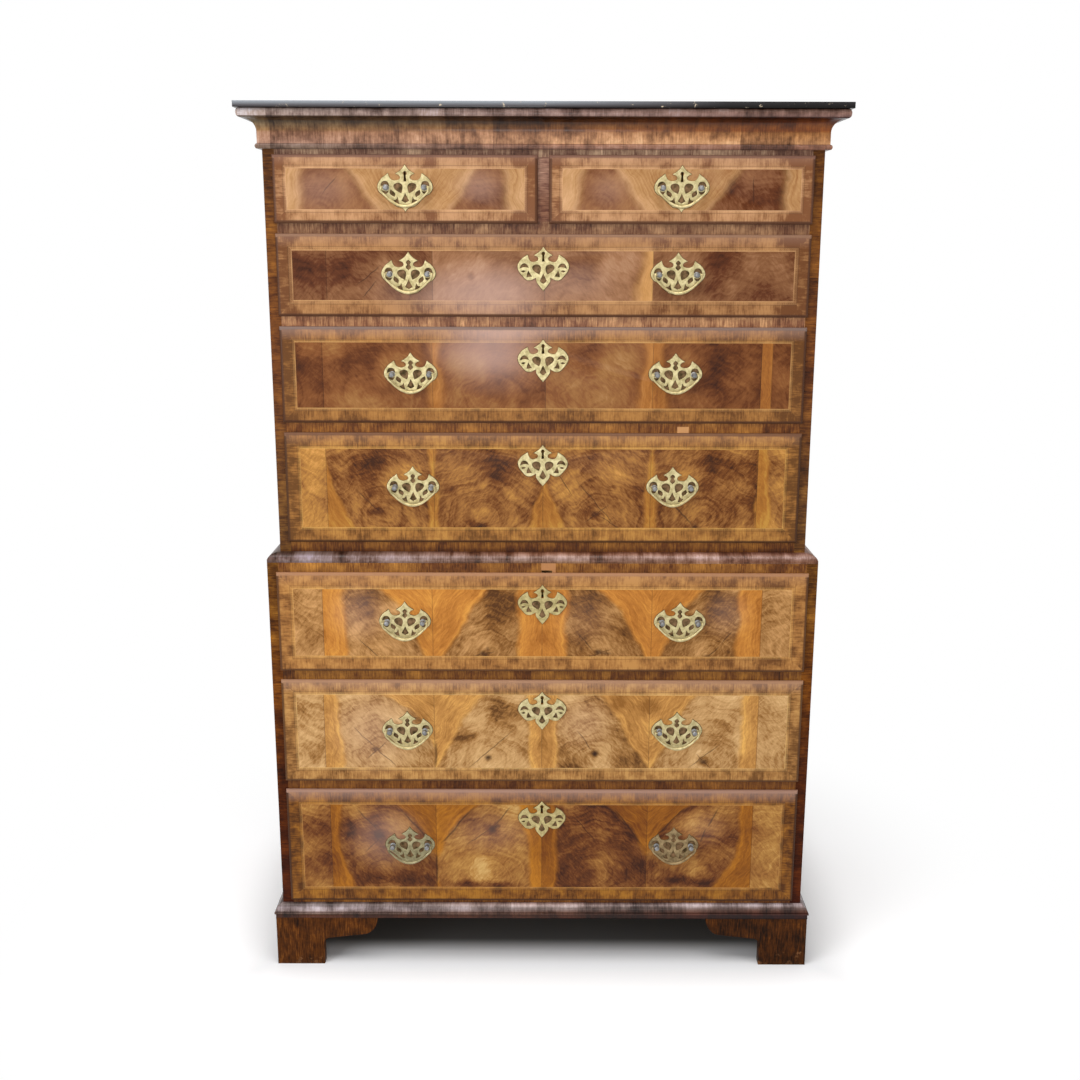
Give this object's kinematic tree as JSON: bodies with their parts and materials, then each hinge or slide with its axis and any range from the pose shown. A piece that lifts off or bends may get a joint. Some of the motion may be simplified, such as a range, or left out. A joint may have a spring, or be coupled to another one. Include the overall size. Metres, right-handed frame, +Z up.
{
  "type": "chest on chest",
  "caption": "Two-part chest on chest in walnut with lip-moulded drawers, drawer locks, pierced plates with bail handles, moulded cornice and bracket feet.",
  "frame": {"origin": "on the floor, under the middle of the overall box", "axes": "+Z up, front of the drawers towards -Y, +X to the right seen from the front"},
  "size_m": [1.08, 0.5644, 1.668],
  "materials": {
    "walnut": "waxed figured veneer",
    "oak": "dry oak",
    "pine": "rough sawn pine",
    "brass": "polished with age",
    "iron": "filed"
  },
  "bodies": {
    "root": {"lower_left_side": "walnut", "lower_right_side": "walnut", "lower_top_and_bottom": "oak", "lower_back_boards": "pine", "lower_rails_and_dustboards": "oak", "waist_moulding": "walnut", "base_moulding": "walnut", "bracket_feet": "walnut"},
    "upper_chest": {"upper_left_side": "walnut", "upper_right_side": "walnut", "upper_top_and_bottom": "oak", "upper_back_boards": "pine", "upper_rails_and_dustboards": "oak", "cornice": "walnut"},
    "drawer_1_left": {"drawer_1_left_front": "walnut", "drawer_1_left_box": "oak", "drawer_1_left_brasses": "brass"},
    "drawer_1_left_lock_bolt": {"drawer_1_left_lock_bolt": "iron"},
    "drawer_1_left_bail": {"drawer_1_left_bail": "brass"},
    "drawer_1_right": {"drawer_1_right_front": "walnut", "drawer_1_right_box": "oak", "drawer_1_right_brasses": "brass"},
    "drawer_1_right_lock_bolt": {"drawer_1_right_lock_bolt": "iron"},
    "drawer_1_right_bail": {"drawer_1_right_bail": "brass"},
    "drawer_2": {"drawer_2_front": "walnut", "drawer_2_box": "oak", "drawer_2_brasses": "brass"},
    "drawer_2_lock_bolt": {"drawer_2_lock_bolt": "iron"},
    "drawer_2_left_bail": {"drawer_2_left_bail": "brass"},
    "drawer_2_right_bail": {"drawer_2_right_bail": "brass"},
    "drawer_3": {"drawer_3_front": "walnut", "drawer_3_box": "oak", "drawer_3_brasses": "brass"},
    "drawer_3_lock_bolt": {"drawer_3_lock_bolt": "iron"},
    "drawer_3_left_bail": {"drawer_3_left_bail": "brass"},
    "drawer_3_right_bail": {"drawer_3_right_bail": "brass"},
    "drawer_4": {"drawer_4_front": "walnut", "drawer_4_box": "oak", "drawer_4_brasses": "brass"},
    "drawer_4_lock_bolt": {"drawer_4_lock_bolt": "iron"},
    "drawer_4_left_bail": {"drawer_4_left_bail": "brass"},
    "drawer_4_right_bail": {"drawer_4_right_bail": "brass"},
    "drawer_5": {"drawer_5_front": "walnut", "drawer_5_box": "oak", "drawer_5_brasses": "brass"},
    "drawer_5_lock_bolt": {"drawer_5_lock_bolt": "iron"},
    "drawer_5_left_bail": {"drawer_5_left_bail": "brass"},
    "drawer_5_right_bail": {"drawer_5_right_bail": "brass"},
    "drawer_6": {"drawer_6_front": "walnut", "drawer_6_box": "oak", "drawer_6_brasses": "brass"},
    "drawer_6_lock_bolt": {"drawer_6_lock_bolt": "iron"},
    "drawer_6_left_bail": {"drawer_6_left_bail": "brass"},
    "drawer_6_right_bail": {"drawer_6_right_bail": "brass"},
    "drawer_7": {"drawer_7_front": "walnut", "drawer_7_box": "oak", "drawer_7_brasses": "brass"},
    "drawer_7_lock_bolt": {"drawer_7_lock_bolt": "iron"},
    "drawer_7_left_bail": {"drawer_7_left_bail": "brass"},
    "drawer_7_right_bail": {"drawer_7_right_bail": "brass"}
  },
  "joints": [
    {"name": "upper_chest_lift", "type": "slide", "parent": "root", "child": "upper_chest", "axis": [0, 0, 1], "range_m": [0, 0.05]},
    {"name": "drawer_1_left_slide", "type": "slide", "parent": "upper_chest", "child": "drawer_1_left", "axis": [0, -1, 0], "range_m": [0, 0.4]},
    {"name": "drawer_1_left_lock_bolt_slide", "type": "slide", "parent": "drawer_1_left", "child": "drawer_1_left_lock_bolt", "axis": [0, 0, 1], "range_m": [0, 0.008]},
    {"name": "drawer_1_left_bail_hinge", "type": "hinge", "parent": "drawer_1_left", "child": "drawer_1_left_bail", "pos_m": [-0.2465, -0.25565, 1.524], "axis": [-1, 0, 0], "range_deg": [-10, 175]},
    {"name": "drawer_1_right_slide", "type": "slide", "parent": "upper_chest", "child": "drawer_1_right", "axis": [0, -1, 0], "range_m": [0, 0.4]},
    {"name": "drawer_1_right_lock_bolt_slide", "type": "slide", "parent": "drawer_1_right", "child": "drawer_1_right_lock_bolt", "axis": [0, 0, 1], "range_m": [0, 0.008]},
    {"name": "drawer_1_right_bail_hinge", "type": "hinge", "parent": "drawer_1_right", "child": "drawer_1_right_bail", "pos_m": [0.2465, -0.25565, 1.524], "axis": [-1, 0, 0], "range_deg": [-10, 175]},
    {"name": "drawer_2_slide", "type": "slide", "parent": "upper_chest", "child": "drawer_2", "axis": [0, -1, 0], "range_m": [0, 0.4]},
    {"name": "drawer_2_lock_bolt_slide", "type": "slide", "parent": "drawer_2", "child": "drawer_2_lock_bolt", "axis": [0, 0, 1], "range_m": [0, 0.008]},
    {"name": "drawer_2_left_bail_hinge", "type": "hinge", "parent": "drawer_2", "child": "drawer_2_left_bail", "pos_m": [-0.2435, -0.25565, 1.373], "axis": [-1, 0, 0], "range_deg": [-10, 175]},
    {"name": "drawer_2_right_bail_hinge", "type": "hinge", "parent": "drawer_2", "child": "drawer_2_right_bail", "pos_m": [0.2435, -0.25565, 1.373], "axis": [-1, 0, 0], "range_deg": [-10, 175]},
    {"name": "drawer_3_slide", "type": "slide", "parent": "upper_chest", "child": "drawer_3", "axis": [0, -1, 0], "range_m": [0, 0.4]},
    {"name": "drawer_3_lock_bolt_slide", "type": "slide", "parent": "drawer_3", "child": "drawer_3_lock_bolt", "axis": [0, 0, 1], "range_m": [0, 0.008]},
    {"name": "drawer_3_left_bail_hinge", "type": "hinge", "parent": "drawer_3", "child": "drawer_3_left_bail", "pos_m": [-0.2435, -0.25565, 1.193], "axis": [-1, 0, 0], "range_deg": [-10, 175]},
    {"name": "drawer_3_right_bail_hinge", "type": "hinge", "parent": "drawer_3", "child": "drawer_3_right_bail", "pos_m": [0.2435, -0.25565, 1.193], "axis": [-1, 0, 0], "range_deg": [-10, 175]},
    {"name": "drawer_4_slide", "type": "slide", "parent": "upper_chest", "child": "drawer_4", "axis": [0, -1, 0], "range_m": [0, 0.4]},
    {"name": "drawer_4_lock_bolt_slide", "type": "slide", "parent": "drawer_4", "child": "drawer_4_lock_bolt", "axis": [0, 0, 1], "range_m": [0, 0.008]},
    {"name": "drawer_4_left_bail_hinge", "type": "hinge", "parent": "drawer_4", "child": "drawer_4_left_bail", "pos_m": [-0.2435, -0.25565, 0.9815], "axis": [-1, 0, 0], "range_deg": [-10, 175]},
    {"name": "drawer_4_right_bail_hinge", "type": "hinge", "parent": "drawer_4", "child": "drawer_4_right_bail", "pos_m": [0.2435, -0.25565, 0.9815], "axis": [-1, 0, 0], "range_deg": [-10, 175]},
    {"name": "drawer_5_slide", "type": "slide", "parent": "root", "child": "drawer_5", "axis": [0, -1, 0], "range_m": [0, 0.4]},
    {"name": "drawer_5_lock_bolt_slide", "type": "slide", "parent": "drawer_5", "child": "drawer_5_lock_bolt", "axis": [0, 0, 1], "range_m": [0, 0.008]},
    {"name": "drawer_5_left_bail_hinge", "type": "hinge", "parent": "drawer_5", "child": "drawer_5_left_bail", "pos_m": [-0.262, -0.27765, 0.7245], "axis": [-1, 0, 0], "range_deg": [-10, 175]},
    {"name": "drawer_5_right_bail_hinge", "type": "hinge", "parent": "drawer_5", "child": "drawer_5_right_bail", "pos_m": [0.262, -0.27765, 0.7245], "axis": [-1, 0, 0], "range_deg": [-10, 175]},
    {"name": "drawer_6_slide", "type": "slide", "parent": "root", "child": "drawer_6", "axis": [0, -1, 0], "range_m": [0, 0.4]},
    {"name": "drawer_6_lock_bolt_slide", "type": "slide", "parent": "drawer_6", "child": "drawer_6_lock_bolt", "axis": [0, 0, 1], "range_m": [0, 0.008]},
    {"name": "drawer_6_left_bail_hinge", "type": "hinge", "parent": "drawer_6", "child": "drawer_6_left_bail", "pos_m": [-0.262, -0.27765, 0.5035], "axis": [-1, 0, 0], "range_deg": [-10, 175]},
    {"name": "drawer_6_right_bail_hinge", "type": "hinge", "parent": "drawer_6", "child": "drawer_6_right_bail", "pos_m": [0.262, -0.27765, 0.5035], "axis": [-1, 0, 0], "range_deg": [-10, 175]},
    {"name": "drawer_7_slide", "type": "slide", "parent": "root", "child": "drawer_7", "axis": [0, -1, 0], "range_m": [0, 0.4]},
    {"name": "drawer_7_lock_bolt_slide", "type": "slide", "parent": "drawer_7", "child": "drawer_7_lock_bolt", "axis": [0, 0, 1], "range_m": [0, 0.008]},
    {"name": "drawer_7_left_bail_hinge", "type": "hinge", "parent": "drawer_7", "child": "drawer_7_left_bail", "pos_m": [-0.262, -0.27765, 0.2605], "axis": [-1, 0, 0], "range_deg": [-10, 175]},
    {"name": "drawer_7_right_bail_hinge", "type": "hinge", "parent": "drawer_7", "child": "drawer_7_right_bail", "pos_m": [0.262, -0.27765, 0.2605], "axis": [-1, 0, 0], "range_deg": [-10, 175]}
  ]
}
